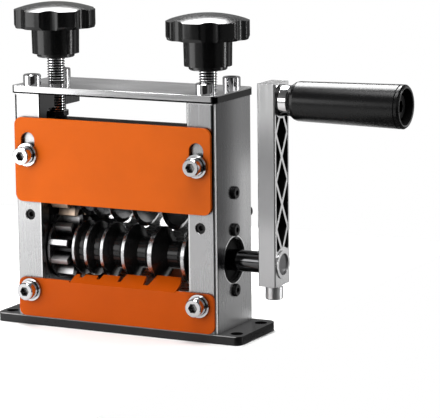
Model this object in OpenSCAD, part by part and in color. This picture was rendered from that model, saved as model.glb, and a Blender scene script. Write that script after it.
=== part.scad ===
// Hand crank wire stripper: two side plates carry a grooved feed roller and,
// above it, a carriage with round blades that two star knobs move up and down.
// Millimetres. Origin at the centre of the base plate's underside.
// X runs along the shafts (crank at +X), -Y is the front, Z is up.

/* [Frame] */
// Half width over the outer faces of the side plates
frame_half = 63.9; // [63.2:0.1:64.5]
// Height of the top of the side plates
plate_top = 132.8; // [131:0.2:136]
// Front to back depth of the side plates
plate_depth = 44.8; // [44:0.1:45.6]
// Length of the base plate
base_length = 157; // [155:1:164]
// Depth of the base plate
base_depth = 46.4; // [46:0.2:50]
// Thickness of the base plate
base_t = 5; // [4.4:0.1:5.4]
// Thickness of the top plate
top_t = 4.3; // [3.8:0.1:5]
// Diameter of the four mounting holes
mount_hole_d = 7; // [6:0.1:8]

/* [Guards] */
// Bottom edge of the upper front guard
guard_low = 71.5; // [71.2:0.1:73]
// Top edge of the upper front guard
guard_high = 119.5; // [119:0.1:121.5]
// Bottom edge of the rear guard
rear_low = 16.7; // [15:0.1:20]
// Top edge of the rear guard
rear_high = 109.4; // [106:0.2:112]

/* [Feed] */
// Height of the drive shaft
drive_z = 43; // [42.8:0.1:43.4]
// Height of the blade shaft
blade_z = 78.5; // [78:0.1:79]
// Outer diameter of the feed roller
roller_d = 31; // [30:0.1:31.2]
// Diameter of both shafts
shaft_d = 12; // [11.6:0.1:12]
// Outer diameter of the gears
gear_d = 36.4; // [36:0.1:36.8]

/* [Crank] */
// Half depth of the crank arm
arm_half = 9.3; // [8.6:0.1:9.5]
// Height of the top of the crank arm
arm_top = 143.3; // [142:0.2:146]
// Height of the hand grip's axis
grip_z = 133.7; // [133:0.1:134]
// Length of the hand grip
grip_length = 66.5; // [64:0.5:76]

/* [Knobs] */
// Outer diameter of the star knobs
knob_d = 46.4; // [44:0.2:47]
// Height of the left knob's underside
knob_left_z = 151.6; // [150:0.1:154]
// Height of the right knob's underside
knob_right_z = 148.5; // [147.5:0.1:151]

/* [Hidden] */
$fn = 96;
inner = 46.6;
hd = plate_depth / 2;
shaft_r = shaft_d / 2;
rod_x = 48.7;
screw_x = 54.8;
guard_x = 53.9;
set_x = 54.4;
guard_screw_hi = 98.5;
guard_screw_lo = 20.7;
low_guard_t = 1.6;
up_guard_t = 2;
up_gap = 0.4;
rear_t = 1.6;
// roller rim centres, rim widths, core radii
rim_x = [-31.3, -23.2, -12.6, 1.1, 18.2, 39.2];
rim_w = [1.8, 1.6, 1.6, 1.7, 2.4, 2.4];
core_r = [13.0, 11.7, 10.3, 8.9, 7.8];
blade_r = [16.5, 17.8, 19.2, 20.3, 20.9];
hole_r = [3.4, 3.9, 4.5, 5.1, 5.8];
hole_z = [59.3, 58.0, 56.5, 55.2, 54.4];
function mid(i) = (rim_x[i] + rim_w[i] / 2 + rim_x[i + 1] - rim_w[i + 1] / 2) / 2;
function wide(i) = rim_x[i + 1] - rim_w[i + 1] / 2 - rim_x[i] - rim_w[i] / 2;
gear_x0 = -44.5;
gear_w = 10.6;
arm_x = 83;
arm_t = 10.5;
grip_x = arm_x + arm_t + 6.7;
leg_top = 117.9;

module xcyl(x0, x1, r, y = 0, z = 0) translate([x0, y, z]) rotate([0, 90, 0]) cylinder(r = r, h = x1 - x0);
module xcone(x0, x1, r0, r1, y = 0, z = 0) translate([x0, y, z]) rotate([0, 90, 0]) cylinder(r1 = r0, r2 = r1, h = x1 - x0);
module ycyl(y0, y1, r, x = 0, z = 0) translate([x, y1, z]) rotate([90, 0, 0]) cylinder(r = r, h = y1 - y0);
module zcyl(z0, z1, r, x = 0, y = 0) translate([x, y, z0]) cylinder(r = r, h = z1 - z0);
module box(x0, x1, y0, y1, z0, z1) translate([x0, y0, z0]) cube([x1 - x0, y1 - y0, z1 - z0]);
// 2-D (Y, Z) outline extruded from x0 to x1
module yz(x0, x1) translate([x0, 0, 0]) rotate([90, 0, 90]) linear_extrude(x1 - x0) children();
// 2-D (X, Z) outline extruded from y0 to y1
module xz(y0, y1) translate([0, y1, 0]) rotate([90, 0, 0]) linear_extrude(y1 - y0) children();
// profile (radius, x) turned about an X axis at height z
module xturn(z) translate([0, 0, z]) rotate([90, 0, 90]) rotate_extrude() children();
module rrect(x0, x1, y0, y1, r) {
  translate([x0 + r, y0]) square([x1 - x0 - 2 * r, y1 - y0]);
  translate([x0, y0 + r]) square([x1 - x0, y1 - y0 - 2 * r]);
  for (x = [x0 + r, x1 - r], y = [y0 + r, y1 - r]) translate([x, y]) circle(r = r);
}
module slot2d(x, y0, y1, r) {
  translate([x - r, y0 + r]) square([2 * r, y1 - y0 - 2 * r]);
  for (y = [y0 + r, y1 - r]) translate([x, y]) circle(r = r);
}

// ---- fasteners, each along +Z with the head's bearing face at z = 0 ----
module cap_screw(len, head_r = 5, head_h = 6, r = 2.95, af = 5) {
  difference() {
    rotate_extrude() polygon([[0, -len], [r - 0.5, -len], [r, -len + 0.5], [r, 0], [head_r, 0],
      [head_r, head_h - 0.5], [head_r - 0.5, head_h], [0, head_h]]);
    translate([0, 0, head_h - 3]) linear_extrude(4) circle(r = af / 2 / cos(30), $fn = 6);
  }
}
module low_screw(len, head_r, head_h, r, af) {
  difference() {
    rotate_extrude() polygon([[0, -len], [r, -len], [r, 0], [head_r, 0],
      [head_r, head_h - 0.5], [head_r - 0.5, head_h], [0, head_h]]);
    translate([0, 0, head_h - 1.5]) linear_extrude(3) circle(r = af / 2 / cos(30), $fn = 6);
  }
}
module ring(ro, ri, t) difference() { cylinder(r = ro, h = t); translate([0, 0, -1]) cylinder(r = ri, h = t + 2); }

// ---- frame ----
module base_plate() color([0.03, 0.03, 0.035]) difference() {
  linear_extrude(base_t) rrect(-base_length / 2, base_length / 2, -base_depth / 2, base_depth / 2, 5);
  for (x = [-72.5, 72.5], y = [-15, 15]) zcyl(-1, base_t + 1, mount_hole_d / 2, x, y);
  for (x = [-screw_x, screw_x], y = [-12, 12]) {
    zcyl(-1, base_t + 1, 3.2, x, y);
    translate([x, y, -0.01]) cylinder(r1 = 6.4, r2 = 3.2, h = 3.2);
  }
}
module base_screws() color([0.1, 0.1, 0.1]) for (x = [-screw_x, screw_x], y = [-12, 12]) translate([x, y, 0]) difference() {
  rotate_extrude() polygon([[0, 0.3], [5.9, 0.3], [2.95, 3.25], [2.95, 15], [2.5, 15.5], [0, 15.5]]);
  translate([0, 0, 0]) linear_extrude(2.2) circle(r = 2 / cos(30), $fn = 6);
}
module side_plate(s) {
  o = frame_half;
  difference() {
    translate([0, 0, base_t]) linear_extrude(plate_top - base_t) polygon([[s * (inner + 0.5), -hd], [s * (o - 1.5), -hd], [s * o, -hd + 1.5],
      [s * o, hd - 1.5], [s * (o - 1.5), hd], [s * (inner + 0.5), hd], [s * inner, hd - 0.5], [s * inner, -hd + 0.5]]);
    // bearing seat in the outer face and shaft clearance through the web
    xcyl(min(s * (o - 9), s * (o + 1)), max(s * (o - 9), s * (o + 1)), 12.02, 0, drive_z);
    xcyl(min(s * (inner - 1), s * (o - 8)), max(s * (inner - 1), s * (o - 8)), 9.5, 0, drive_z);
    translate([s * o, 0, drive_z]) rotate([0, -s * 90, 0]) translate([0, 0, -0.01]) cylinder(r1 = 12.9, r2 = 12.02, h = 0.88);
    // guide pocket for the carriage, open at the back
    box(min(s * (inner - 1), s * 56), max(s * (inner - 1), s * 56), -15, hd + 1, 60, 120.5);
    box(min(s * (inner - 1), s * 56), max(s * (inner - 1), s * 56), -12, hd + 1, 57, 123.5);
    for (z = [60, 120.5]) xcyl(min(s * (inner - 1), s * 56), max(s * (inner - 1), s * 56), 3, -12, z);
    // slot for the adjusting rod
    zcyl(120, plate_top + 1, 6.3, s * rod_x, 0);
    box(min(s * (inner - 1), s * rod_x), max(s * (inner - 1), s * rod_x), -6.3, 6.3, 121, plate_top + 1);
    // threaded holes
    for (y = [-16.3, 16.3]) zcyl(plate_top - 8.2, plate_top + 1, 3, s * screw_x, y);
    for (y = [-12, 12]) zcyl(base_t - 1, base_t + 12, 3, s * screw_x, y);
    ycyl(-hd - 1, -15.9, 3, s * guard_x, guard_screw_hi);
    ycyl(-hd - 1, -hd + 9, 3, s * guard_x, guard_screw_lo);
    ycyl(-hd - 1, -14, 3, s * set_x, 63.7);
    translate([s * set_x, -hd - 0.01, 63.7]) rotate([-90, 0, 0]) cylinder(r1 = 3.2, r2 = 3, h = 0.2);
    for (z = [80.8, drive_z + 17, drive_z - 17]) xcyl(min(s * (o - 5), s * (o + 1)), max(s * (o - 5), s * (o + 1)), 2, 0, z);
    ycyl(hd - 6, hd + 1, 2, s * 59.5, 66.3);
    ycyl(hd - 6, hd + 1, 2, s * 50.5, 27.5);
  }
}
module side_plate_left() color([0.78, 0.78, 0.8]) side_plate(-1);
module side_plate_right() color([0.78, 0.78, 0.8]) side_plate(1);
module top_plate() color([0.8, 0.8, 0.82]) difference() {
  translate([0, 0, plate_top]) linear_extrude(top_t) rrect(-frame_half - 1, frame_half + 1, -hd - 1.2, hd + 1.2, 3.5);
  for (s = [-1, 1]) {
    zcyl(plate_top - 1, plate_top + top_t + 1, 5.08, s * rod_x, 0);
    for (y = [-16.3, 16.3]) zcyl(plate_top - 1, plate_top + top_t + 1, 3.2, s * screw_x, y);
  }
}
module top_plate_screws() color([0.85, 0.85, 0.87]) for (x = [-screw_x, screw_x], y = [-16.3, 16.3])
  translate([x, y, plate_top + top_t]) cap_screw(top_t + 7.7);
module front_guard_lower() color([0.87, 0.34, 0.1]) difference() {
  yb = -hd;
  yf = -hd - low_guard_t;
  union() {
    xz(yf, yb) difference() {
      rrect(-62, 63.1, 5.3, 27.6, 4.2);
      translate([-28.9, 26.8]) square([68, 5]);
    }
    // comb bent in towards the roller grooves
    translate([0, yf, 26.8]) rotate([26.57, 0, 0]) translate([0, 0, -1.85]) linear_extrude(1.8) polygon([
      [-28.5, 0], [-28.5, 6.4], [-27.7, 8.0], [-25.6, 8.0], [-24.9, 5.5], [-22.9, 5.5], [-22.1, 8.4], [-14.2, 8.4], [-13.6, 5.2], [-11.8, 5.2],
      [-11.2, 9.9], [-0.6, 9.9], [0.1, 4.8], [1.9, 4.8], [2.6, 12.0], [15.2, 12.0], [16.8, 4.2], [19.8, 4.2],
      [21.4, 13.8], [36.6, 13.8], [38.7, 7.4], [38.7, 0]]);
  }
  for (x = [-guard_x, guard_x]) ycyl(yf - 1, yb + 1, 3.3, x, guard_screw_lo);
}
module front_guard_upper() color([0.87, 0.34, 0.1]) xz(-hd - up_gap - up_guard_t, -hd - up_gap) difference() {
  rrect(-62.2, 62.2, guard_low, guard_high, 4.5);
  for (x = [-53.6, 53.6]) slot2d(x, 92, 111.1, 4.35);
}
module rear_guard() color([0.7, 0.7, 0.72]) xz(hd, hd + rear_t) difference() {
  rrect(-62.2, 62.2, rear_low, rear_high, 3);
  for (i = [0:4]) translate([mid(i), hole_z[i]]) circle(r = hole_r[i]);
  for (s = [-1, 1]) { translate([s * 59.5, 66.3]) circle(r = 1.8); translate([s * 50.5, 27.5]) circle(r = 2.2); }
}
module at_front_screws() {
  for (x = [-guard_x, guard_x]) {
    translate([x, -hd - low_guard_t, guard_screw_lo]) rotate([90, 0, 0]) children();
    translate([x, -hd - up_gap - up_guard_t - 0.3, guard_screw_hi]) rotate([90, 0, 0]) children();
  }
}
module guard_washers() color([0.85, 0.85, 0.87]) at_front_screws() ring(6.5, 3.2, 1.2);
module guard_spring_washers() color([0.6, 0.6, 0.62]) at_front_screws() translate([0, 0, 1.2]) difference() {
  ring(4.9, 3.1, 0.9);
  translate([0, 0, -1]) rotate(20) translate([2, -0.25, 0]) cube([4, 0.5, 4]);
}
module guard_screws() color([0.88, 0.88, 0.9]) {
  for (x = [-guard_x, guard_x]) {
    translate([x, -hd - low_guard_t - 2.1, guard_screw_lo]) rotate([90, 0, 0]) cap_screw(11.5, head_h = 5.5);
    translate([x, -hd - up_gap - up_guard_t - 2.4, guard_screw_hi]) rotate([90, 0, 0]) cap_screw(10.8, head_h = 5.5);
  }
}
module rear_guard_screws() color([0.06, 0.06, 0.06]) for (s = [-1, 1]) {
  translate([s * 59.5, hd + rear_t, 66.3]) rotate([-90, 0, 0]) low_screw(7, 3.5, 1.5, 1.75, 2.5);
  translate([s * 50.5, hd + rear_t, 27.5]) rotate([-90, 0, 0]) low_screw(7, 3.5, 1.5, 1.75, 2.5);
}
module side_screws() color([0.04, 0.04, 0.04]) for (s = [-1, 1], z = [80.8, drive_z + 17, drive_z - 17])
  translate([s * frame_half, 0, z]) rotate([0, s * 90, 0]) low_screw(4.6, 3.6, 2, 1.95, 3);
module front_set_screws() color([0.05, 0.05, 0.05]) for (x = [-set_x, set_x]) translate([x, -15.2, 63.7]) rotate([90, 0, 0]) difference() {
  cylinder(r = 2.95, h = hd - 15.2 - 1.2);
  translate([0, 0, hd - 15.2 - 1.2 - 2]) linear_extrude(3) circle(r = 1.5 / cos(30), $fn = 6);
}
module bearing() difference() {
  cylinder(r = 12, h = 6);
  translate([0, 0, -1]) cylinder(r = shaft_r + 0.06, h = 8);
  for (z = [-0.7, 5.7]) translate([0, 0, z]) ring(10.9, 8.0, 1);
}
module drive_bearings() color([0.08, 0.08, 0.08]) for (s = [-1, 1])
  translate([s > 0 ? frame_half - 8.9 : -frame_half + 2.9, 0, drive_z]) rotate([0, 90, 0]) bearing();

// ---- crank ----
module drive_shaft() color([0.05, 0.05, 0.05]) xturn(drive_z) polygon([[0, 2.1 - frame_half], [shaft_r - 0.5, 2.1 - frame_half], [shaft_r, 2.6 - frame_half],
  [shaft_r, arm_x + arm_t - 0.7], [shaft_r - 0.5, arm_x + arm_t - 0.2], [0, arm_x + arm_t - 0.2]]);
module feed_roller() color([0.07, 0.07, 0.075]) {
  r = roller_d / 2;
  b = shaft_r + 0.02;
  pts = [for (i = [0:4]) each [[r, rim_x[i] - rim_w[i] / 2 + (i == 0 ? 0.5 : 0)], [r, rim_x[i] + rim_w[i] / 2],
    [core_r[i] - 0.9, mid(i) - 0.17 * wide(i)], [core_r[i] - 0.9, mid(i) + 0.17 * wide(i)]]];
  x0 = rim_x[0] - rim_w[0] / 2;
  x1 = rim_x[5] + rim_w[5] / 2;
  difference() {
    union() {
      xturn(drive_z) polygon(concat([[b, x0], [r - 0.5, x0]], pts, [[r, x1 - rim_w[5]], [r, x1 - 0.5], [r - 0.5, x1], [b, x1]]));
      // toothed cores that grip the wire
      for (i = [0:4]) yz(mid(i) - 0.17 * wide(i), mid(i) + 0.17 * wide(i)) translate([0, drive_z]) difference() {
        n = 22;
        polygon([for (k = [0:n - 1]) each [
          [core_r[i] * cos(360 * k / n - 5.2), core_r[i] * sin(360 * k / n - 5.2)],
          [core_r[i] * cos(360 * k / n + 5.2), core_r[i] * sin(360 * k / n + 5.2)],
          [(core_r[i] - 0.75) * cos(360 * (k + 0.5) / n - 3), (core_r[i] - 0.75) * sin(360 * (k + 0.5) / n - 3)],
          [(core_r[i] - 0.75) * cos(360 * (k + 0.5) / n + 3), (core_r[i] - 0.75) * sin(360 * (k + 0.5) / n + 3)]]]);
        circle(r = b);
      }
    }
  }
}
module gear2d(turn, hole) difference() {
  union() {
    circle(r = 11.3);
    intersection() {
      circle(r = gear_d / 2);
      for (k = [0:9]) rotate(turn + 36 * k) polygon([[9, -2.75], [11.25, -2.75], [15, -2.2], [19.5, -1.15], [19.5, 1.15], [15, 2.2], [11.25, 2.75], [9, 2.75]]);
    }
  }
  circle(r = hole);
}
module drive_gear() color([0.35, 0.35, 0.36]) {
  yz(gear_x0, gear_x0 + gear_w) translate([0, drive_z]) gear2d(92.5, shaft_r + 0.02);
  translate([gear_x0 + gear_w - 0.01, 0, drive_z]) rotate([0, 90, 0]) ring(9, shaft_r + 0.02, 1.5);
}
module drive_collars() color([0.12, 0.12, 0.12]) {
  translate([-45.9, 0, drive_z]) rotate([0, 90, 0]) ring(18.6, shaft_r + 0.02, 1.3);
  translate([40.5, 0, drive_z]) rotate([0, 90, 0]) ring(9, shaft_r + 0.02, 5.6);
}
module rib(y0, z0, y1, z1, w) {
  l = sqrt((y1 - y0) * (y1 - y0) + (z1 - z0) * (z1 - z0));
  translate([y0, z0]) rotate(atan2(z1 - z0, y1 - y0)) translate([-0.8, -w / 2]) square([l + 1.6, w]);
}
module crank_arm() color([0.78, 0.78, 0.8]) {
  x0 = arm_x;
  x1 = arm_x + arm_t;
  lip = arm_half - 1.9;
  difference() {
    union() {
      difference() {
        translate([0, 0, 31.4]) linear_extrude(arm_top - 31.4) polygon([[x0 + 0.6, -arm_half], [x1 - 0.6, -arm_half], [x1, -arm_half + 0.6],
          [x1, arm_half - 0.6], [x1 - 0.6, arm_half], [x0 + 0.6, arm_half], [x0, arm_half - 0.6], [x0, -arm_half + 0.6]]);
        yz(x1 - 7, x1 + 1) difference() {
          rrect(-lip, lip, 50.8, 129, 1.5);
          translate([0, drive_z]) circle(r = 9.6);
          translate([0, grip_z]) circle(r = 9.8);
        }
      }
      yz(x1 - 7.5, x1 - 0.2) intersection() {
        translate([-lip - 0.3, 50.5]) square([2 * lip + 0.6, 78.8]);
        union() for (s = [-1, 1]) {
          rib(0, 50, s * 7, 63.2, 1.8);
          rib(s * 7, 63.2, -s * 7, 89.6, 1.8);
          rib(s * 7, 89.6, -s * 7, 116, 1.8);
          rib(s * 7, 116, 0, 129.2, 1.8);
        }
      }
      xcyl(x1 - 1, x1 + 0.7, 8.0, 0, drive_z);
    }
    xcyl(x0 - 1, x1 + 2, shaft_r + 0.02, 0, drive_z);
    xcyl(x0 - 1, x1 + 2, 4.02, 0, grip_z);
    zcyl(30, drive_z - 4, 3.02, x0 + arm_t / 2, 0);
  }
}
module crank_clamp_screw() color([0.85, 0.85, 0.87]) translate([arm_x + arm_t / 2, 0, 30.2]) rotate([180, 0, 0])
  cap_screw(6.6, 5, 7, 3, 5);
module handle_washer() color([0.03, 0.03, 0.03]) translate([arm_x + arm_t, 0, grip_z]) rotate([0, 90, 0]) ring(8.7, 4.02, 1);
module handle_collar() color([0.9, 0.9, 0.92]) difference() {
  translate([arm_x + arm_t + 1, 0, grip_z]) rotate([0, 90, 0]) rotate_extrude() polygon([[4.02, 0], [7.9, 0], [8.4, 0.5], [8.4, 4.9], [7.9, 5.4], [4.02, 5.4]]);
}
module handle_bolt() color([0.5, 0.5, 0.52]) {
  e = grip_x + grip_length - 8.3;
  difference() {
    xturn(grip_z) polygon([[0, arm_x], [3.5, arm_x], [4, arm_x + 0.5], [4, e], [7, e], [7, e + 4.3], [6.5, e + 4.8], [0, e + 4.8]]);
    yz(e + 1.8, e + 6) translate([0, grip_z]) circle(r = 3 / cos(30), $fn = 6);
  }
}

// ---- grip ----
module handle_grip() color([0.03, 0.03, 0.03]) {
  e = grip_x + grip_length;
  xturn(grip_z) polygon([[4.08, grip_x], [8.6, grip_x], [10.4, grip_x + 2.6], [10.85, grip_x + 4.2],
    [11.9, e - 3.4], [11.4, e - 3.0], [11.4, e - 2.5], [11.9, e - 2.2], [11.9, e - 1.2], [11.2, e - 0.3], [10.7, e], [10.2, e], [9.8, e - 0.4], [9.8, e - 8.7], [4.08, e - 8.7]]);
}

// ---- carriage ----
module blade_carriage() color([0.04, 0.04, 0.045]) difference() {
  union() {
    box(-50, 50, -12, 8, 103, 116.5);
    for (s = [-1, 1]) yz(min(s * 46.9, s * 55.7), max(s * 46.9, s * 55.7))
      polygon([[-14.7, 66], [-11.2, 62], [20.9, 62], [20.9, 108], [8, 108], [8, leg_top - 1], [7, leg_top], [-13.7, leg_top], [-14.7, leg_top - 1]]);
  }
  for (s = [-1, 1]) {
    xcyl(min(s * 46, s * 54.2), max(s * 46, s * 54.2), 12.02, 0, blade_z);
    xcyl(min(s * 46, s * 57), max(s * 46, s * 57), 9.5, 0, blade_z);
    zcyl(104.5, leg_top + 1, 4.56, s * rod_x, 0);
    ycyl(-16, 9, 1.26, s * 53.5, 110);
  }
}
module carriage_bearings() color([0.08, 0.08, 0.08]) for (s = [-1, 1])
  translate([s > 0 ? 48 : -54, 0, blade_z]) rotate([0, 90, 0]) bearing();
module retaining_pins() color([0.5, 0.5, 0.5]) for (s = [-1, 1]) ycyl(-14.4, 7.7, 1.24, s * 53.5, 110);

// ---- blade shaft ----
module blade_shaft() color([0.3, 0.3, 0.31]) xturn(blade_z) polygon([[0, -55.2], [shaft_r - 0.5, -55.2], [shaft_r, -54.7],
  [shaft_r, 54.7], [shaft_r - 0.5, 55.2], [0, 55.2]]);
module round_blades() color([0.6, 0.6, 0.62]) for (i = [0:4]) xturn(blade_z) translate([0, mid(i)])
  polygon([[shaft_r + 0.02, -1.2], [blade_r[i] - 2.4, -1.2], [blade_r[i], -0.15], [blade_r[i], 0.15], [blade_r[i] - 2.4, 1.2], [shaft_r + 0.02, 1.2]]);
module blade_spacers() color([0.1, 0.1, 0.1]) {
  ends = concat([gear_x0 + gear_w], [for (i = [0:4]) mid(i) + 1.2]);
  for (i = [0:4]) translate([ends[i], 0, blade_z]) rotate([0, 90, 0]) ring(9.5, shaft_r + 0.02, mid(i) - 1.2 - ends[i]);
  translate([-47.7, 0, blade_z]) rotate([0, 90, 0]) ring(7.8, shaft_r + 0.02, 47.7 + gear_x0);
}
module blade_collar() color([0.1, 0.1, 0.1]) xturn(blade_z) polygon([[shaft_r + 0.02, mid(4) + 1.2], [9.5, mid(4) + 1.2], [9.5, 41.4],
  [16.5, 41.4], [17, 41.9], [17, 44], [16.5, 44.5], [7.8, 44.5], [7.8, 47.7], [shaft_r + 0.02, 47.7]]);
module blade_gear() color([0.35, 0.35, 0.36]) yz(gear_x0, gear_x0 + gear_w) translate([0, blade_z]) gear2d(285.5, shaft_r + 0.02);

// ---- adjusting knobs ----
module adjust_rod(x, kz) {
  z0 = 121;
  n = floor((kz - z0 + 0.25) / 1.5);
  translate([x, 0, 0]) rotate_extrude() polygon(concat(
    [[0, 105], [4, 105], [4.5, 105.5], [4.5, 108.4], [3.2, 108.4], [3.2, 111.6], [4.5, 111.6], [4.5, 118.2], [6.6, 118.2], [6.6, 121], [4.1, 121]],
    [for (k = [0:n - 1]) each [[4.1, z0 + 0.2 + 1.5 * k], [5, z0 + 0.65 + 1.5 * k], [5, z0 + 1.15 + 1.5 * k]]],
    [[4.1, z0 + 0.2 + 1.5 * n], [4.9, z0 + 0.65 + 1.5 * n], [4.9, kz + 15], [0, kz + 15]]));
}
module adjust_rod_left() color([0.55, 0.55, 0.57]) adjust_rod(-rod_x, knob_left_z);
module adjust_rod_right() color([0.55, 0.55, 0.57]) adjust_rod(rod_x, knob_right_z);
// seven lobes with round flutes and rounded lobe corners
module star2d(r) {
  c = 2.2;
  rf = 8.0;
  d = r + 5.8;
  a = acos(((r - c) * (r - c) + d * d - (rf + c) * (rf + c)) / (2 * (r - c) * d));
  fx = (r - c) * cos(a);
  fy = (r - c) * sin(a);
  t = c / (rf + c);
  tx = fx + (d - fx) * t;
  ty = fy * (1 - t);
  difference() {
    circle(r = r);
    for (k = [0:6]) rotate(360 / 7 * (k + 0.5)) {
      translate([d, 0]) circle(r = rf);
      difference() {
        polygon([[fx, -fy], [tx, -ty], [tx, ty], [fx, fy], [1.4 * fx, 1.4 * fy], [1.4 * fx, -1.4 * fy]]);
        translate([fx, fy]) circle(r = c);
        translate([fx, -fy]) circle(r = c);
      }
    }
  }
}
module knob(x, kz, turn) {
  r = knob_d / 2;
  translate([x, 0, kz]) difference() {
    union() {
      translate([0, 0, 2.2]) cylinder(r1 = 13.3, r2 = 13.6, h = 15.4);
      intersection() {
        rotate(turn) translate([0, 0, 16.9]) linear_extrude(20) star2d(r);
        translate([0, 0, 31.2 - 68]) sphere(r = 68);
        rotate_extrude() polygon([[0, 16], [r - 1.0, 16], [r - 0.5, 17.6], [r + 0.1, 18.9], [r + 0.1, 40], [0, 40]]);
      }
    }
    translate([0, 0, -1]) cylinder(r = 4.95, h = 17);
  }
}
module adjust_knob_left() color([0.02, 0.02, 0.02]) knob(-rod_x, knob_left_z, -41.8);
module adjust_knob_right() color([0.02, 0.02, 0.02]) knob(rod_x, knob_right_z, -34.4);
module knob_bush(x, kz) translate([x, 0, kz]) difference() {
  rotate_extrude() polygon([[4.95, 0], [10.1, 0], [10.7, 0.6], [10.7, 2.2], [4.95, 2.2]]);
}
module knob_bush_left() color([0.04, 0.04, 0.04]) knob_bush(-rod_x, knob_left_z);
module knob_bush_right() color([0.04, 0.04, 0.04]) knob_bush(rod_x, knob_right_z);

base_plate();
base_screws();
side_plate_left();
side_plate_right();
top_plate();
top_plate_screws();
front_guard_lower();
rear_guard();
guard_screws();
guard_washers();
guard_spring_washers();
rear_guard_screws();
side_screws();
front_set_screws();
drive_bearings();
front_guard_upper();
drive_shaft();
feed_roller();
drive_gear();
drive_collars();
crank_arm();
crank_clamp_screw();
handle_washer();
handle_collar();
handle_bolt();
handle_grip();
blade_carriage();
carriage_bearings();
retaining_pins();
blade_shaft();
round_blades();
blade_spacers();
blade_collar();
blade_gear();
adjust_rod_left();
adjust_knob_left();
knob_bush_left();
adjust_rod_right();
adjust_knob_right();
knob_bush_right();
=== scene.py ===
import math

import bpy
from mathutils import Matrix, Vector

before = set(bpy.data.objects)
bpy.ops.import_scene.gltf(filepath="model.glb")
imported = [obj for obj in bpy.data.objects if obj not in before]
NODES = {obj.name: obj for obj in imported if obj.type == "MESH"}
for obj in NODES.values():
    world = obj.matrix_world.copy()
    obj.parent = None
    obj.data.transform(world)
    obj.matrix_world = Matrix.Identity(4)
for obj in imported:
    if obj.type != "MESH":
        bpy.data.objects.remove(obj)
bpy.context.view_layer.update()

MM = 0.001

scene = bpy.context.scene
scene.view_settings.view_transform = "Standard"
scene.view_settings.look = "None"
scene.view_settings.exposure = 0.0
scene.view_settings.gamma = 1.0


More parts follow.
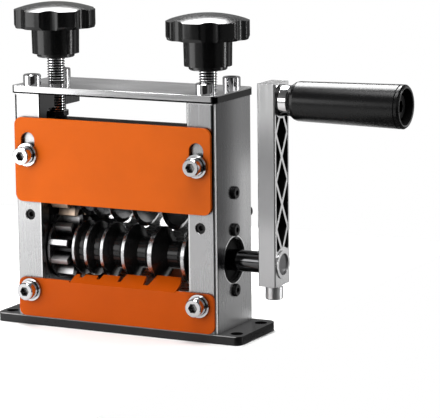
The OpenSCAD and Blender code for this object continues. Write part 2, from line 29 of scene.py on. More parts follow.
# ---------------------------------------------------------------- materials
class Mat:
    """A small helper that builds one procedural material."""

    def __init__(self, name):
        self.m = bpy.data.materials.new(name)
        self.m.use_nodes = True
        self.t = self.m.node_tree
        self.t.nodes.clear()
        self.out = self.t.nodes.new("ShaderNodeOutputMaterial")
        self.b = self.t.nodes.new("ShaderNodeBsdfPrincipled")
        self.t.links.new(self.b.outputs["BSDF"], self.out.inputs["Surface"])
        tc = self.t.nodes.new("ShaderNodeTexCoord")
        self.obj = tc.outputs["Object"]

    def new(self, kind, **values):
        n = self.t.nodes.new(kind)
        for k, v in values.items():
            setattr(n, k, v)
        return n

    def link(self, a, b):
        self.t.links.new(a, b)

    def set(self, **values):
        for k, v in values.items():
            self.b.inputs[k.replace("_", " ")].default_value = v

    def math(self, op, a, b=None, clamp=False):
        n = self.new("ShaderNodeMath", operation=op, use_clamp=clamp)
        for i, v in enumerate((a, b)):
            if v is None:
                continue
            if isinstance(v, (int, float)):
                n.inputs[i].default_value = v
            else:
                self.link(v, n.inputs[i])
        return n.outputs[0]

    def mapping(self, scale=(1, 1, 1), loc=(0, 0, 0)):
        n = self.new("ShaderNodeMapping")
        n.inputs["Scale"].default_value = scale
        n.inputs["Location"].default_value = loc
        self.link(self.obj, n.inputs["Vector"])
        return n.outputs["Vector"]

    def noise(self, scale, detail=3.0, rough=0.5, stretch=(1, 1, 1), loc=(0, 0, 0), distortion=0.0):
        n = self.new("ShaderNodeTexNoise")
        n.inputs["Scale"].default_value = scale
        n.inputs["Detail"].default_value = detail
        n.inputs["Roughness"].default_value = rough
        n.inputs["Distortion"].default_value = distortion
        self.link(self.mapping(stretch, loc), n.inputs["Vector"])
        return n.outputs[0]

    def voronoi(self, scale, stretch=(1, 1, 1)):
        n = self.new("ShaderNodeTexVoronoi")
        n.inputs["Scale"].default_value = scale
        self.link(self.mapping(stretch), n.inputs["Vector"])
        return n.outputs["Distance"]

    def ramp(self, fac, lo, hi, a=0.0, b=1.0):
        """Maps fac from lo..hi to a..b, clamped."""
        n = self.new("ShaderNodeMapRange", clamp=True)
        for i, v in enumerate((lo, hi, a, b)):
            n.inputs[i + 1].default_value = v
        self.link(fac, n.inputs[0])
        return n.outputs[0]

    def smooth(self, fac, lo, hi, a=0.0, b=1.0):
        n = self.new("ShaderNodeMapRange", clamp=True, interpolation_type="SMOOTHSTEP")
        for i, v in enumerate((lo, hi, a, b)):
            n.inputs[i + 1].default_value = v
        self.link(fac, n.inputs[0])
        return n.outputs[0]

    def mix(self, fac, a, b):
        """Mixes two colours (tuples or sockets)."""
        n = self.new("ShaderNodeMix", data_type="RGBA", clamp_factor=True)
        if isinstance(fac, (int, float)):
            n.inputs[0].default_value = fac
        else:
            self.link(fac, n.inputs[0])
        for i, v in ((6, a), (7, b)):
            if isinstance(v, tuple):
                n.inputs[i].default_value = (*v, 1.0)
            else:
                self.link(v, n.inputs[i])
        return n.outputs[2]

    def mixf(self, fac, a, b):
        n = self.new("ShaderNodeMix", data_type="FLOAT", clamp_factor=True)
        self.link(fac, n.inputs[0]) if not isinstance(fac, (int, float)) else setattr(n.inputs[0], "default_value", fac)
        for i, v in ((2, a), (3, b)):
            if isinstance(v, (int, float)):
                n.inputs[i].default_value = v
            else:
                self.link(v, n.inputs[i])
        return n.outputs[0]

    def color(self, socket):
        self.link(socket, self.b.inputs["Base Color"])

    def rough(self, socket):
        self.link(socket, self.b.inputs["Roughness"])

    def bump(self, height, strength, distance):
        n = self.new("ShaderNodeBump")
        n.inputs["Strength"].default_value = strength
        n.inputs["Distance"].default_value = distance
        self.link(height, n.inputs["Height"])
        self.link(n.outputs["Normal"], self.b.inputs["Normal"])

    def radius(self, z):
        """Distance in metres from the X axis line at height z (mm)."""
        s = self.new("ShaderNodeSeparateXYZ")
        self.link(self.obj, s.inputs[0])
        dz = self.math("SUBTRACT", s.outputs[2], z * MM)
        return self.math("SQRT", self.math("ADD", self.math("MULTIPLY", s.outputs[1], s.outputs[1]), self.math("MULTIPLY", dz, dz)))

    def axes(self):
        s = self.new("ShaderNodeSeparateXYZ")
        self.link(self.obj, s.inputs[0])
        return s.outputs


def brushed(name, base, rough, stretch, metallic=1.0, contrast=0.12, bump=0.06, spec_tint=None):
    """Fine brushed metal: streaks run along the axis with the small stretch."""
    m = Mat(name)
    streak = m.noise(900, 4, 0.6, stretch)
    cloud = m.noise(26, 3, 0.5)
    f = m.math("ADD", m.math("MULTIPLY", streak, 0.7), m.math("MULTIPLY", cloud, 0.3))
    dark = tuple(c * (1 - contrast) for c in base)
    light = tuple(min(1, c * (1 + contrast)) for c in base)
    m.color(m.mix(m.ramp(f, 0.3, 0.7), dark, light))
    m.rough(m.math("ADD", m.ramp(streak, 0.3, 0.7, rough - 0.05, rough + 0.05), m.ramp(cloud, 0.35, 0.65, -0.02, 0.02)))
    m.bump(streak, bump, 0.00002)
    m.set(Metallic=metallic)
    return m


def paint(name, base, rough, var=0.06, peel=1500, bump=0.05, spec=0.5):
    """Paint, moulding or coating: soft colour variation, orange-peel bump and small roughness changes."""
    m = Mat(name)
    cloud = m.noise(30, 4, 0.55)
    fine = m.noise(peel, 3, 0.6)
    dark = tuple(c * (1 - var) for c in base)
    light = tuple(min(1, c * (1 + var)) for c in base)
    m.color(m.mix(m.ramp(cloud, 0.3, 0.7), dark, light))
    m.rough(m.math("ADD", m.ramp(fine, 0.3, 0.7, rough - 0.03, rough + 0.03), m.ramp(cloud, 0.3, 0.7, -0.03, 0.03)))
    m.bump(fine, bump, 0.00003)
    m.b.inputs["Specular IOR Level"].default_value = spec
    return m


def paint_crevice_shade(m, reach, dark, lo=0.35, hi=0.95):
    """Paints shade into the base colour in contact gaps."""
    ao = m.new("ShaderNodeAmbientOcclusion")
    ao.samples = 8
    ao.inputs["Distance"].default_value = reach * MM
    src = m.b.inputs["Base Color"].links[0].from_socket
    f = m.ramp(ao.outputs["AO"], lo, hi)
    m.color(m.mix(f, dark, src))


M = {}
# guards: satin orange powder coat; the lower guard has a darker copy of it, which is painted shade
M["orange_low"] = paint("orange_powder_coat_lower_painted_shade", (0.480, 0.070, 0.001), 0.42, 0.05, 2200, 0.10, spec=0.08)
M["orange"] = paint("orange_powder_coat", (0.628, 0.105, 0.001), 0.40, 0.05, 2200, 0.10, spec=0.12)
# painted shade darkens the orange in contact gaps
paint_crevice_shade(M["orange"], 5.0, (0.03, 0.006, 0.0015))
paint_crevice_shade(M["orange_low"], 5.0, (0.03, 0.006, 0.0015))
# frame
m = Mat("plate_satin_metal")
streak = m.noise(1100, 4, 0.6, (1.0, 1.0, 0.03))
cloud = m.noise(26, 3, 0.5)
x_, y_, z_ = m.axes()
f = m.math("ADD", m.math("MULTIPLY", streak, 0.6), m.math("MULTIPLY", cloud, 0.4))
# painted shade: the right plate takes a darker copy of the metal than the left
right_plate_shade = m.smooth(x_, -0.05, 0.05)
metal = m.mix(m.ramp(f, 0.3, 0.7), m.mix(right_plate_shade, (0.515, 0.515, 0.52), (0.44, 0.44, 0.445)), m.mix(right_plate_shade, (0.55, 0.55, 0.555), (0.47, 0.47, 0.475)))
# painted shade: the outer faces darken towards the front, except near the bottom
outer = m.smooth(m.math("ABSOLUTE", x_), 0.0632, 0.0638)
front_shade = m.math("MULTIPLY", outer, m.smooth(m.math("ADD", y_, m.math("MULTIPLY", m.math("SUBTRACT", cloud, 0.5), 0.002)), 0.012, -0.016))
front_shade = m.math("MULTIPLY", front_shade, m.smooth(z_, 0.015, 0.065))
metal = m.mix(front_shade, metal, (0.12, 0.12, 0.123))
# painted light: the outer faces are lighter near the bottom
low = m.math("MULTIPLY", outer, m.smooth(z_, 0.05, 0.02))
metal = m.mix(low, metal, (0.64, 0.64, 0.645))
# painted shade: the outer faces darken towards the top
top_shade = m.math("MULTIPLY", m.math("MULTIPLY", outer, m.smooth(z_, 0.088, 0.118)), 0.42)
metal = m.mix(top_shade, metal, (0.06, 0.06, 0.061))
# painted highlight: a lighter band across the rear part of the outer faces
back = m.math("MULTIPLY", m.math("MULTIPLY", outer, m.smooth(y_, 0.002, 0.014)), m.math("MULTIPLY", m.smooth(z_, 0.035, 0.055), m.smooth(z_, 0.105, 0.085)))
metal = m.mix(back, metal, (0.70, 0.70, 0.705))
# edges: painted shade darkens the front face towards its outer corners and lays dark lines beside the edges, and
# painted highlights lay pale lines on the arrises and along the top of the front face
front = m.smooth(y_, -0.02185, -0.02200)
absx = m.math("ABSOLUTE", x_)
up = m.smooth(z_, 0.060, 0.095)
strip = m.math("MULTIPLY", front, m.smooth(m.math("ADD", absx, m.math("MULTIPLY", up, 0.0008)), 0.06225, 0.06255))
metal = m.mix(m.math("MULTIPLY", strip, m.mixf(up, 0.45, 1.0)), metal, (0.03, 0.03, 0.03))
metal = m.mix(m.math("MULTIPLY", outer, m.smooth(y_, -0.0196, -0.0200)), metal, (0.03, 0.03, 0.03))
metal = m.mix(m.math("MULTIPLY", front, m.smooth(z_, 0.1320, 0.1322)), metal, (0.80, 0.80, 0.805))
metal = m.mix(m.math("MULTIPLY", front, m.smooth(absx, 0.04790, 0.04775)), metal, (0.85, 0.85, 0.855))
metal = m.mix(m.math("MULTIPLY", front, m.smooth(absx, 0.04725, 0.04710)), metal, (0.04, 0.04, 0.04))
painted_edge_highlight = m.math("MULTIPLY", m.smooth(absx, 0.06318, 0.06332), m.smooth(y_, -0.0207, -0.0209))
metal = m.mix(painted_edge_highlight, metal, (0.95, 0.95, 0.95))
# painted shade: the faces that look inward are darkened
inner_shade = m.smooth(m.math("ABSOLUTE", x_), 0.0469, 0.0467)
metal = m.mix(inner_shade, metal, (0.10, 0.10, 0.101))
# painted shade: the bearing seat is near black; painted highlight: a pale ring round it on the outer face
seat = m.smooth(m.radius(43.0), 0.01305, 0.0129)
rim = m.math("MULTIPLY", outer, m.math("MULTIPLY", m.smooth(m.radius(43.0), 0.01300, 0.01306), m.smooth(m.radius(43.0), 0.01375, 0.01360)))
metal = m.mix(rim, metal, (0.95, 0.95, 0.955))
m.color(m.mix(seat, metal, m.mix(streak, (0.002, 0.002, 0.002), (0.005, 0.005, 0.005))))
m.rough(m.math("ADD", m.ramp(streak, 0.3, 0.7, 0.25, 0.29), m.ramp(cloud, 0.35, 0.65, -0.02, 0.02)))
m.link(m.math("SUBTRACT", 1.0, m.math("MAXIMUM", seat, painted_edge_highlight)), m.b.inputs["Metallic"])
m.b.inputs["Specular IOR Level"].default_value = 0.3
m.bump(streak, 0.03, 0.00002)
M["plates"] = m
# painted shade darkens the plates in contact gaps
paint_crevice_shade(m, 4.0, (0.10, 0.10, 0.10), 0.30, 0.80)

# guard screws: bright plating, with painted shade darkening the sockets
m = Mat("guard_screw_plating")
fine = m.noise(900, 3, 0.6)
x_, y_, z_ = m.axes()
dx = m.math("SUBTRACT", m.math("ABSOLUTE", x_), 0.0539)
hi = m.math("GREATER_THAN", z_, 0.06)
dz = m.math("SUBTRACT", z_, m.mixf(hi, 0.0207, 0.0985))
rr = m.math("SQRT", m.math("ADD", m.math("MULTIPLY", dx, dx), m.math("MULTIPLY", dz, dz)))
socket_shade = m.math("MULTIPLY", m.smooth(rr, 0.00295, 0.00290), m.math("GREATER_THAN", y_, m.mixf(hi, -0.0313, -0.0324)))
socket_shade = m.math("MULTIPLY", socket_shade, m.math("LESS_THAN", y_, m.mixf(hi, -0.0270, -0.0281)))
m.color(m.mix(socket_shade, m.mix(fine, (0.70, 0.70, 0.71), (0.78, 0.78, 0.79)), m.mix(fine, (0.20, 0.20, 0.20), (0.32, 0.32, 0.32))))
m.rough(m.mixf(socket_shade, m.ramp(fine, 0.3, 0.7, 0.09, 0.15), m.ramp(fine, 0.3, 0.7, 0.2, 0.3)))
m.set(Metallic=1.0)
m.bump(fine, 0.03, 0.00002)
M["guard_screw"] = m
# painted shade darkens the screws in contact gaps
paint_crevice_shade(m, 1.6, (0.03, 0.02, 0.02), 0.35, 0.85)

M["top"] = brushed("top_plate_brushed", (0.85, 0.85, 0.855), 0.17, (0.03, 1.0, 1.0), contrast=0.07, bump=0.04)
m = M["top"]
x_, y_, z_ = m.axes()
# painted shade: the faces below the top are darker, and the line under the plate and each end face near black; painted
# highlight: a pale line on the top arris over each end face
src = m.b.inputs["Base Color"].links[0].from_socket
src = m.mix(m.smooth(z_, 0.13705, 0.13685), src, (0.64, 0.64, 0.645))
shade = m.smooth(z_, 0.13385, 0.13365)
end_shade = m.math("MULTIPLY", m.smooth(m.math("ABSOLUTE", x_), 0.0627, 0.0632), m.smooth(z_, 0.1367, 0.1364))
src = m.mix(m.math("MAXIMUM", shade, end_shade), src, (0.006, 0.006, 0.006))
painted_edge_highlight = m.math("MULTIPLY", m.smooth(m.math("ABSOLUTE", x_), 0.0641, 0.0643), m.smooth(z_, 0.1364, 0.1366))
m.color(m.mix(painted_edge_highlight, src, (0.30, 0.30, 0.30)))
m.link(m.math("SUBTRACT", 1.0, painted_edge_highlight), m.b.inputs["Metallic"])
M["rear"] = brushed("rear_plate_satin", (0.46, 0.46, 0.465), 0.28, (0.04, 1.0, 1.0), contrast=0.05, bump=0.03)
M["base"] = paint("base_gloss_black", (0.004, 0.004, 0.0042), 0.30, 0.2, 1800, 0.05, spec=0.22)
m = M["base"]
x_, y_, z_ = m.axes()
src = m.b.inputs["Base Color"].links[0].from_socket
# painted reflection: the front face is lighter; painted highlight: a pale line along its top front edge
face = m.smooth(y_, -0.0229, -0.0231)
src = m.mix(face, src, (0.024, 0.024, 0.0245))
m.color(m.mix(m.math("MULTIPLY", m.smooth(y_, -0.0225, -0.0227), m.smooth(z_, 0.0045, 0.0047)), src, (0.30, 0.30, 0.30)))
M["chrome"] = brushed("bright_screw_plating", (0.74, 0.74, 0.75), 0.09, (1.0, 1.0, 1.0), contrast=0.05, bump=0.03)
M["washer"] = brushed("bright_washer_plating", (0.78, 0.78, 0.79), 0.10, (1.0, 1.0, 1.0), contrast=0.05, bump=0.03)
# painted shade darkens the washers in contact gaps
paint_crevice_shade(M["washer"], 1.6, (0.03, 0.02, 0.02), 0.35, 0.85)
M["spring"] = brushed("spring_washer_steel", (0.07, 0.07, 0.072), 0.26, (1.0, 1.0, 1.0), contrast=0.1)
M["oxide"] = paint("black_oxide_steel", (0.005, 0.005, 0.0052), 0.28, 0.25, 2600, 0.08, spec=0.4)
M["seal"] = paint("bearing_seal", (0.003, 0.003, 0.003), 0.5, 0.2, 2600, 0.08, spec=0.12)
# crank
M["collar"] = brushed("polished_collar", (0.78, 0.78, 0.79), 0.08, (1.0, 1.0, 1.0), contrast=0.04, bump=0.02)
M["bolt"] = brushed("bolt_steel", (0.014, 0.014, 0.0143), 0.4, (1.0, 1.0, 1.0), contrast=0.1)
M["clamp"] = brushed("clamp_screw_satin", (0.92, 0.92, 0.925), 0.34, (1.0, 1.0, 0.1), contrast=0.08)
M["grip"] = paint("grip_gloss_black", (0.003, 0.003, 0.0032), 0.25, 0.2, 1400, 0.04, spec=0.34)
m = M["grip"]
x_, y_, z_ = m.axes()
r = m.radius(133.7)
src = m.b.inputs["Base Color"].links[0].from_socket
rsrc = m.b.inputs["Roughness"].links[0].from_socket
# painted shade: the hollow in the grip's end is near black and matt; painted highlight: a pale ring round its edge
end = m.smooth(x_, 0.1600, 0.1605)
bore_shade = m.math("MULTIPLY", end, m.smooth(r, 0.00990, 0.00980))
lip_highlight = m.math("MULTIPLY", m.math("MULTIPLY", end, m.smooth(r, 0.00980, 0.00990)), m.smooth(r, 0.01045, 0.01035))
m.color(m.mix(lip_highlight, m.mix(bore_shade, src, (0.0008, 0.0008, 0.0008)), (0.16, 0.16, 0.16)))
m.rough(m.mixf(bore_shade, rsrc, 0.95))
# carriage
M["carriage"] = paint("carriage_black_anodised", (0.004, 0.004, 0.0042), 0.45, 0.2, 2400, 0.08, spec=0.12)
M["blade"] = brushed("ground_blade_steel", (0.34, 0.34, 0.345), 0.22, (1.0, 1.0, 1.0), contrast=0.1)
M["knob"] = paint("knob_gloss_black", (0.003, 0.003, 0.0032), 0.19, 0.2, 1200, 0.03, spec=0.45)
M["bush"] = paint("bush_black", (0.008, 0.008, 0.008), 0.22, 0.2, 1500, 0.05)

# adjusting rods: plated thread with a black collar under the top plate
m = Mat("threaded_rod_plated")
fine = m.noise(1500, 3, 0.6)
x_, y_, z_ = m.axes()
black = m.math("MULTIPLY", m.smooth(z_, 0.11815, 0.11825), m.smooth(z_, 0.1210, 0.12085))
ax = m.math("SUBTRACT", m.math("ABSOLUTE", x_), 0.0487)
rr = m.math("SQRT", m.math("ADD", m.math("MULTIPLY", ax, ax), m.math("MULTIPLY", y_, y_)))
# painted shade: the thread roots are near black
valley_shade = m.smooth(rr, 0.00492, 0.00455)
thread = m.mix(valley_shade, m.mix(fine, (0.82, 0.82, 0.83), (0.92, 0.92, 0.93)), (0.02, 0.02, 0.02))
m.color(m.mix(black, thread, m.mix(fine, (0.007, 0.007, 0.007), (0.012, 0.012, 0.012))))
m.rough(m.mixf(black, m.ramp(fine, 0.3, 0.7, 0.12, 0.18), m.ramp(fine, 0.3, 0.7, 0.22, 0.3)))
m.link(m.math("SUBTRACT", 1.0, black), m.b.inputs["Metallic"])
m.bump(fine, 0.04, 0.00002)
M["rod"] = m

# crank arm: satin plating, near black down in the lattice pocket; painted highlight lightens the top and the outer
# face, painted shade darkens the middle
m = Mat("arm_satin_black_pocket")
streak = m.noise(900, 4, 0.6, (1.0, 1.0, 0.03))
x_, y_, z_ = m.axes()
pocket = m.math("MULTIPLY", m.smooth(x_, 0.09292, 0.09284), m.smooth(x_, 0.0862, 0.0864))
pocket = m.math("MULTIPLY", pocket, m.smooth(m.math("ABSOLUTE", y_), 0.00696, 0.00692))
pocket = m.math("MULTIPLY", pocket, m.math("MULTIPLY", m.smooth(z_, 0.0505, 0.0507), m.smooth(z_, 0.1293, 0.1291)))
plating = m.mix(streak, (0.46, 0.46, 0.465), (0.54, 0.54, 0.545))
# painted highlight at the top and on the outer face, painted shade in the middle
plating = m.mix(m.smooth(z_, 0.112, 0.130), plating, (0.80, 0.80, 0.805))
waist_shade = m.math("MULTIPLY", m.smooth(z_, 0.058, 0.075), m.smooth(z_, 0.118, 0.100))
plating = m.mix(waist_shade, plating, (0.365, 0.365, 0.37))
plating = m.mix(m.smooth(x_, 0.09280, 0.09292), plating, (0.90, 0.90, 0.905))
m.color(m.mix(pocket, plating, m.mix(streak, (0.006, 0.006, 0.006), (0.011, 0.011, 0.011))))
m.rough(m.mixf(pocket, m.ramp(streak, 0.3, 0.7, 0.18, 0.26), m.ramp(streak, 0.3, 0.7, 0.3, 0.4)))
m.link(m.math("SUBTRACT", 1.0, pocket), m.b.inputs["Metallic"])
m.b.inputs["Specular IOR Level"].default_value = 0.3
m.bump(streak, 0.05, 0.00002)
M["arm"] = m

# shafts: polished black, the drive shaft's end face ground bare
m = Mat("polished_black_shaft")
fine = m.noise(1200, 3, 0.6)
x_, y_, z_ = m.axes()
bare = m.smooth(x_, 0.0927, 0.0929)
m.color(m.mix(bare, m.mix(fine, (0.09, 0.09, 0.092), (0.13, 0.13, 0.133)), m.mix(fine, (0.20, 0.20, 0.205), (0.30, 0.30, 0.305))))
m.rough(m.mixf(bare, m.ramp(fine, 0.3, 0.7, 0.08, 0.14), m.ramp(fine, 0.3, 0.7, 0.28, 0.38)))
m.set(Metallic=1.0)
m.bump(fine, 0.02, 0.00002)
M["shaft"] = m

# flange beside the drive gear: black oxide with a bright turned edge
m = Mat("collar_black_bright_edge")
r = m.radius(43.0)
fine = m.noise(1600, 3, 0.6)
edge = m.smooth(m.math("ADD", r, m.ramp(m.noise(400, 2), 0.2, 0.8, -0.00008, 0.00008)), 0.01835, 0.0185)
m.color(m.mix(edge, m.mix(fine, (0.008, 0.008, 0.008), (0.014, 0.014, 0.0142)), m.mix(fine, (0.42, 0.42, 0.43), (0.52, 0.52, 0.53))))
m.rough(m.ramp(fine, 0.3, 0.7, 0.24, 0.32))
m.link(edge, m.b.inputs["Metallic"])
m.bump(fine, 0.05, 0.00003)
M["flange"] = m

# feed roller: black oxide with rims that the machining left bright
m = Mat("roller_black_bright_rims")
r = m.radius(43.0)
fine = m.noise(1600, 3, 0.6)
edge = m.math("ADD", r, m.ramp(m.noise(400, 2), 0.2, 0.8, -0.00010, 0.00010))
rim = m.smooth(edge, 0.01525, 0.01540)
m.color(m.mix(rim, m.mix(fine, (0.006, 0.006, 0.0062), (0.013, 0.013, 0.0133)), m.mix(fine, (0.56, 0.56, 0.57), (0.66, 0.66, 0.67))))
m.rough(m.mixf(rim, m.ramp(fine, 0.3, 0.7, 0.20, 0.28), m.ramp(fine, 0.3, 0.7, 0.22, 0.3)))
m.link(rim, m.b.inputs["Metallic"])
m.b.inputs["Specular IOR Level"].default_value = 0.4
m.bump(fine, 0.06, 0.00003)
M["roller"] = m

# gears: dark steel; painted highlight brightens them towards the tooth tips, and the upper gear's warm tint there is a
# painted reflection of the orange guard
for key, z, lo_c, hi_c in (("gear_low", 43.0, (0.62, 0.62, 0.625), (0.72, 0.72, 0.725)), ("gear_high", 78.5, (0.62, 0.47, 0.36), (0.72, 0.56, 0.43))):
    m = Mat("gear_steel_" + key[5:])
    r = m.radius(z)
    fine = m.noise(1500, 3, 0.6)
    tip_highlight = m.smooth(m.math("ADD", r, m.ramp(m.noise(300, 2), 0.2, 0.8, -0.0003, 0.0003)), 0.0132, 0.0176)
    m.color(m.mix(tip_highlight, m.mix(fine, (0.03, 0.03, 0.031), (0.07, 0.07, 0.072)), m.mix(fine, lo_c, hi_c)))
    m.rough(m.mixf(tip_highlight, m.ramp(fine, 0.3, 0.7, 0.24, 0.32), m.ramp(fine, 0.3, 0.7, 0.32, 0.40)))
    m.set(Metallic=1.0)
    m.bump(fine, 0.06, 0.00003)
    M[key] = m

USE = {
    "base_plate": "base", "base_screws": "oxide", "side_plate_left": "plates", "side_plate_right": "plates",
    "top_plate": "top", "top_plate_screws": "chrome", "front_guard_lower": "orange_low", "front_guard_upper": "orange",
    "rear_guard": "rear", "guard_screws": "guard_screw", "guard_washers": "washer", "guard_spring_washers": "spring",
    "rear_guard_screws": "oxide", "side_screws": "oxide", "front_set_screws": "oxide", "drive_bearings": "seal",
    "drive_shaft": "shaft", "feed_roller": "roller", "drive_gear": "gear_low", "drive_collars": "flange",
    "crank_arm": "arm", "crank_clamp_screw": "clamp", "handle_washer": "oxide", "handle_collar": "collar",
    "handle_bolt": "bolt", "handle_grip": "grip", "blade_carriage": "carriage", "carriage_bearings": "seal",
    "retaining_pins": "bolt", "blade_shaft": "shaft", "round_blades": "blade", "blade_spacers": "oxide",
    "blade_collar": "oxide", "blade_gear": "gear_high", "adjust_rod_left": "rod", "adjust_knob_left": "knob",
    "knob_bush_left": "bush", "adjust_rod_right": "rod", "adjust_knob_right": "knob", "knob_bush_right": "bush",
}
for node, key in USE.items():
    o = NODES[node]
    o.data.materials.clear()
    o.data.materials.append(M[key].m)
    for p in o.data.polygons:
        p.material_index = 0


# ---------------------------------------------------------------- rounded edges
def rounded(node, width, segments=2, angle=32.0, planar=0.4):
    o = NODES[node]
    w = o.modifiers.new("weld", "WELD")
    w.merge_threshold = 0.000002
    if planar:
        d = o.modifiers.new("planar", "DECIMATE")
        d.decimate_type = "DISSOLVE"
        d.angle_limit = math.radians(planar)
        d.use_dissolve_boundaries = False
    b = o.modifiers.new("bevel", "BEVEL")
    b.width = width * MM
    b.segments = segments
    b.limit_method = "ANGLE"
    b.angle_limit = math.radians(angle)
    b.use_clamp_overlap = True
    b.miter_outer = "MITER_ARC"
    n = o.modifiers.new("normals", "WEIGHTED_NORMAL")
    n.keep_sharp = False
    n.weight = 60


for node, width in {
    "base_plate": 0.6, "top_plate": 0.5, "side_plate_left": 0.55, "side_plate_right": 0.55,
    "front_guard_upper": 0.45, "front_guard_lower": 0.3, "rear_guard": 0.3, "crank_arm": 0.3,
}.items():
    rounded(node, width)


# ---------------------------------------------------------------- camera
yaw, pitch, roll = math.radians(27.26), math.radians(10.08), math.radians(-0.62)
back = Vector((math.sin(yaw) * math.cos(pitch), -math.cos(yaw) * math.cos(pitch), math.sin(pitch)))
right = Vector((math.cos(yaw), math.sin(yaw), 0))
up = back.cross(right)
right2 = math.cos(roll) * right + math.sin(roll) * up
up2 = -math.sin(roll) * right + math.cos(roll) * up
cam_at = Vector((0, 0, 75)) + back * 1339.11 + right2 * 49.10 - up2 * 7.82
cam_data = bpy.data.cameras.new("photo_camera")
cam_data.sensor_width = 36
cam_data.lens = 194.1
cam_data.clip_start = 0.05
cam_data.clip_end = 50
cam = bpy.data.objects.new("photo_camera", cam_data)
scene.collection.objects.link(cam)
cam.matrix_world = Matrix((
    (right2.x, up2.x, back.x, cam_at.x * MM),
    (right2.y, up2.y, back.y, cam_at.y * MM),
    (right2.z, up2.z, back.z, cam_at.z * MM),
    (0, 0, 0, 1),
))
scene.camera = cam


# ---------------------------------------------------------------- bench top, floor and light
def plane(name, corners, z, mat):
    me = bpy.data.meshes.new(name)
    (x0, y0), (x1, y1) = corners
    me.from_pydata([(x0, y0, z), (x1, y0, z), (x1, y1, z), (x0, y1, z)], [], [(0, 1, 2, 3)])
    me.materials.append(mat)
    o = bpy.data.objects.new(name, me)
    scene.collection.objects.link(o)
    return o


def pale(name, value):
    m = Mat(name)
    m.color(m.mix(m.ramp(m.noise(3.0, 2), 0.3, 0.7), (value * 0.99,) * 3, (value,) * 3))
    m.set(Roughness=0.9)
    m.b.inputs["Specular IOR Level"].default_value = 0.1
    return m.m


floor_mat = pale("pale_floor", 0.93)
# the bench mirrors darker than it is lit, as under a studio flag
ft = floor_mat.node_tree
f_lp = ft.nodes.new("ShaderNodeLightPath")
f_dark = ft.nodes.new("ShaderNodeBsdfDiffuse")
f_dark.inputs["Color"].default_value = (0.47, 0.47, 0.47, 1)
f_mix = ft.nodes.new("ShaderNodeMixShader")
f_out = next(n for n in ft.nodes if n.type == "OUTPUT_MATERIAL")
f_bsdf = next(n for n in ft.nodes if n.type == "BSDF_PRINCIPLED")
ft.links.new(f_lp.outputs["Is Glossy Ray"], f_mix.inputs[0])
ft.links.new(f_bsdf.outputs[0], f_mix.inputs[1])
ft.links.new(f_dark.outputs[0], f_mix.inputs[2])
ft.links.new(f_mix.outputs[0], f_out.inputs["Surface"])
# the machine stands at a bench edge, because its crank turns below the base plate
plane("bench_top", ((-3.0, -3.0), (0.0805, 0.30)), 0.0, floor_mat)

world = bpy.data.worlds.new("studio")
scene.world = world
world.use_nodes = True
wt = world.node_tree
wt.nodes.clear()
wo = wt.nodes.new("ShaderNodeOutputWorld")
bg_cam = wt.nodes.new("ShaderNodeBackground")
bg_cam.inputs["Color"].default_value = (1, 1, 1, 1)
bg_cam.inputs["Strength"].default_value = 1.0
bg = wt.nodes.new("ShaderNodeBackground")
bg.inputs["Strength"].default_value = 1.0
tc = wt.nodes.new("ShaderNodeTexCoord")
sep = wt.nodes.new("ShaderNodeSeparateXYZ")
wt.links.new(tc.outputs["Generated"], sep.inputs[0])
sky = wt.nodes.new("ShaderNodeValToRGB")
wt.links.new(sep.outputs[2], sky.inputs[0])
for pos, val in ((0.0, 0.10), (0.12, 0.16), (0.35, 0.34), (1.0, 0.45)):
    e = sky.color_ramp.elements[0] if pos == 0.0 else sky.color_ramp.elements[-1] if pos == 1.0 else sky.color_ramp.elements.new(pos)
    e.position = pos
    e.color = (val, val, val, 1)
# overhead, reflections see a darker ceiling than the one that lights the object
ceil = wt.nodes.new("ShaderNodeValToRGB")
wt.links.new(sep.outputs[2], ceil.inputs[0])
for pos, val in ((0.0, 0.10), (0.12, 0.26), (0.28, 0.30), (0.42, 0.18), (1.0, 0.06)):
    e = ceil.color_ramp.elements[0] if pos == 0.0 else ceil.color_ramp.elements[-1] if pos == 1.0 else ceil.color_ramp.elements.new(pos)
    e.position = pos
    e.color = (val, val, val, 1)
lp0 = wt.nodes.new("ShaderNodeLightPath")
top = wt.nodes.new("ShaderNodeMix")
top.data_type = "RGBA"
wt.links.new(lp0.outputs["Is Glossy Ray"], top.inputs[0])
wt.links.new(sky.outputs[0], top.inputs[6])
wt.links.new(ceil.outputs[0], top.inputs[7])
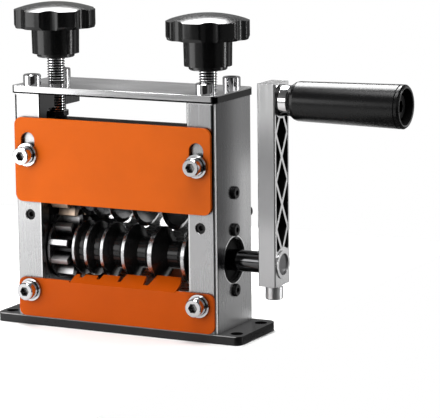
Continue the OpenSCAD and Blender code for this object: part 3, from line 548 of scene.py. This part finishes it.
# low down, the studio's flags and cards make darker and lighter sectors
neg = wt.nodes.new("ShaderNodeMath")
neg.operation = "MULTIPLY"
neg.inputs[1].default_value = -1.0
wt.links.new(sep.outputs[1], neg.inputs[0])
az = wt.nodes.new("ShaderNodeMath")
az.operation = "ARCTAN2"
wt.links.new(sep.outputs[0], az.inputs[0])
wt.links.new(neg.outputs[0], az.inputs[1])
turn = wt.nodes.new("ShaderNodeMapRange")
turn.inputs[1].default_value = -math.pi
turn.inputs[2].default_value = math.pi
wt.links.new(az.outputs[0], turn.inputs[0])
ring = wt.nodes.new("ShaderNodeValToRGB")
wt.links.new(turn.outputs[0], ring.inputs[0])
for deg, val in ((-180, 0.10), (-10, 0.10), (-4, 0.02), (60, 0.02), (70, 0.17), (104, 0.17), (112, 0.05), (138, 0.05), (146, 0.10), (180, 0.10)):
    pos = (deg + 180) / 360
    e = ring.color_ramp.elements[0] if deg == -180 else ring.color_ramp.elements[-1] if deg == 180 else ring.color_ramp.elements.new(pos)
    e.position = pos
    e.color = (val, val, val, 1)
low = wt.nodes.new("ShaderNodeMapRange")
low.inputs[1].default_value = 0.10
low.inputs[2].default_value = 0.0
wt.links.new(sep.outputs[2], low.inputs[0])
both = wt.nodes.new("ShaderNodeMix")
both.data_type = "RGBA"
wt.links.new(low.outputs[0], both.inputs[0])
wt.links.new(top.outputs[2], both.inputs[6])
wt.links.new(ring.outputs[0], both.inputs[7])
wt.links.new(both.outputs[2], bg.inputs["Color"])
lp = wt.nodes.new("ShaderNodeLightPath")
mx = wt.nodes.new("ShaderNodeMixShader")
wt.links.new(lp.outputs["Is Camera Ray"], mx.inputs[0])
wt.links.new(bg.outputs[0], mx.inputs[1])
wt.links.new(bg_cam.outputs[0], mx.inputs[2])
wt.links.new(mx.outputs[0], wo.inputs[0])


def softbox(name, at, target, w, h, power, color=(1, 1, 1)):
    d = bpy.data.lights.new(name, "AREA")
    d.shape = "RECTANGLE"
    d.size, d.size_y = w, h
    d.energy = power
    d.color = color
    o = bpy.data.objects.new(name, d)
    scene.collection.objects.link(o)
    o.location = at
    o.rotation_mode = "QUATERNION"
    o.rotation_quaternion = (Vector(target) - Vector(at)).to_track_quat("-Z", "Y")
    o.visible_camera = False
    return o


softbox("left_tall", (-0.42, -0.36, 0.20), (0, 0, 0.20), 0.34, 0.5, 1.4)
softbox("left_front", (-0.22, -0.55, 0.24), (0, 0, 0.24), 0.14, 0.22, 0.32)
softbox("right_strip", (0.64, 0.29, 0.20), (0, 0, 0.09), 0.07, 0.7, 1.5)
softbox("right_back", (0.42, 0.62, 0.12), (0.06, 0, 0.08), 0.24, 0.5, 0.22)
softbox("back_top", (-0.36, 0.59, 1.03), (0, 0, 0.12), 0.5, 0.68, 17.5)
softbox("over_back", (-0.46, 0.20, 1.02), (0, 0, 0.12), 0.36, 0.30, 2.4)
softbox("over_front", (0.10, -0.25, 1.0), (0.05, 0, 0.1), 0.7, 0.4, 7.4)
